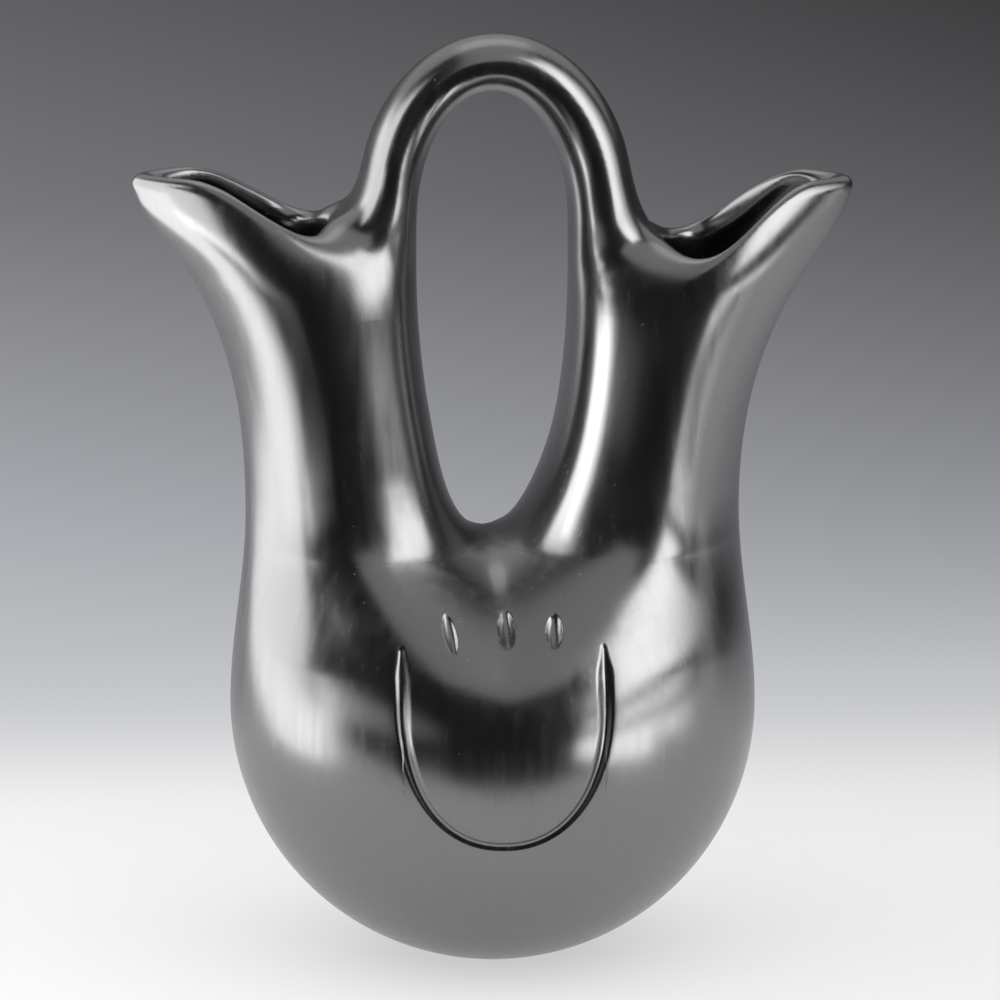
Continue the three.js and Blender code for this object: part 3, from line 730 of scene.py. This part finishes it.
# panels that lie level or face straight forward; the lamp over the table lights it and shows in no highlight
otherPanels = [
    {"name": "backPanel", "centre": (0, 930, 1475), "facing": (0, -1, 0), "up": (0, 0, 1), "wide": 3000, "tall": 2050,
     "radiance": 0.42, "fade": (0.1, 0.1, 0.15, 0.1)},
    {"name": "overhead", "centre": (35, -75, 1000), "facing": (0, 0, -1), "up": (0, 1, 0), "wide": 700, "tall": 1950,
     "radiance": 0.45, "fade": (0.15, 0.15, 0.08, 0.1)},
    {"name": "tableLight", "centre": (0, -150, 2000), "facing": (0, 0, -1), "up": (0, 1, 0), "wide": 7000, "tall": 7000,
     "radiance": 1.25, "fade": (0, 0, 0, 0), "mirrored": False},
]
wattsPerRadiance = 4  # power of a lamp of one square metre whose face shows a radiance of one


def upright(panel):
    (x0, y0), (x1, y1) = panel["from"], panel["to"]
    centre = ((x0 + x1) / 2, (y0 + y1) / 2, (panel["low"] + panel["high"]) / 2)
    wide, tall = math.hypot(x1 - x0, y1 - y0), panel["high"] - panel["low"]
    return {**panel, "centre": centre, "facing": (y1 - y0, x0 - x1, 0), "up": (0, 0, 1), "wide": wide, "tall": tall}


def addPanel(panel):
    light = bpy.data.lights.new(panel["name"], "AREA")
    light.shape = "RECTANGLE"
    light.size, light.size_y = panel["wide"] * mm, panel["tall"] * mm
    light.energy = wattsPerRadiance * panel["radiance"] * light.size * light.size_y
    light.spread = math.radians(panel.get("spread", 180))
    light.use_nodes = True
    tree = light.node_tree
    tree.nodes.clear()
    place = addNode(tree, "ShaderNodeNewGeometry").outputs["Parametric"]
    parts = addNode(tree, "ShaderNodeSeparateXYZ", links={"Vector": place})
    glow = addNode(tree, "ShaderNodeEmission", {"Strength": 1})
    fromEnd, toEnd, lowEdge, highEdge = panel["fade"]
    level = None
    for axis, edge, full in (("X", 1, 1 - fromEnd), ("X", 0, toEnd), ("Y", 0, lowEdge), ("Y", 1, 1 - highEdge)):
        if edge != full:
            step = addRange(tree, parts.outputs[axis], (edge, full), interpolation_type="SMOOTHSTEP")
            level = addMath(tree, "MULTIPLY", level, step) if level else step
    if level:
        tree.links.new(level, glow.inputs["Strength"])
    addNode(tree, "ShaderNodeOutputLight", links={"Surface": glow.outputs[0]})
    lamp = bpy.data.objects.new(panel["name"], light)
    bpy.context.scene.collection.objects.link(lamp)
    back = -Vector(panel["facing"]).normalized()
    side = Vector(panel["up"]).cross(back).normalized()
    turned = Matrix((side, back.cross(side), back)).transposed().to_4x4()
    lamp.matrix_world = Matrix.Translation(Vector(panel["centre"]) * mm) @ turned
    lamp.visible_camera = False
    lamp.visible_glossy = panel.get("mirrored", True)
    lamp.visible_diffuse = not lamp.visible_glossy


for panel in [upright(panel) for panel in panels] + otherPanels:
    addPanel(panel)

world = bpy.data.worlds.new("darkStudio")
bpy.context.scene.world = world
world.use_nodes = True
world.node_tree.nodes.clear()
skyValues = {"Color": linear("#ffffff"), "Strength": studio["room"]}
sky = addNode(world.node_tree, "ShaderNodeBackground", skyValues)
addNode(world.node_tree, "ShaderNodeOutputWorld", links={"Surface": sky.outputs[0]})

# camera: long lens from a little left of the front, slightly above
view = {
    "azimuth": -4.0, "distance": 2600, "height": 667, "target": (2.6, 0, 158),
    "lens": 276, "sensor": 36, "clip": (50, 50000),
}
turn = math.radians(view["azimuth"])
lens = bpy.data.cameras.new("longLens")
lens.lens, lens.sensor_width = view["lens"], view["sensor"]
lens.clip_start, lens.clip_end = (end * mm for end in view["clip"])
camera = bpy.data.objects.new("longLens", lens)
bpy.context.scene.collection.objects.link(camera)
stand = (view["distance"] * math.sin(turn), -view["distance"] * math.cos(turn), view["height"])
camera.location = Vector(stand) * mm
camera.rotation_euler = (Vector(view["target"]) * mm - camera.location).to_track_quat("-Z", "Y").to_euler()
bpy.context.scene.camera = camera
bpy.context.scene.view_settings.view_transform = "Standard"
print("studio and camera set")
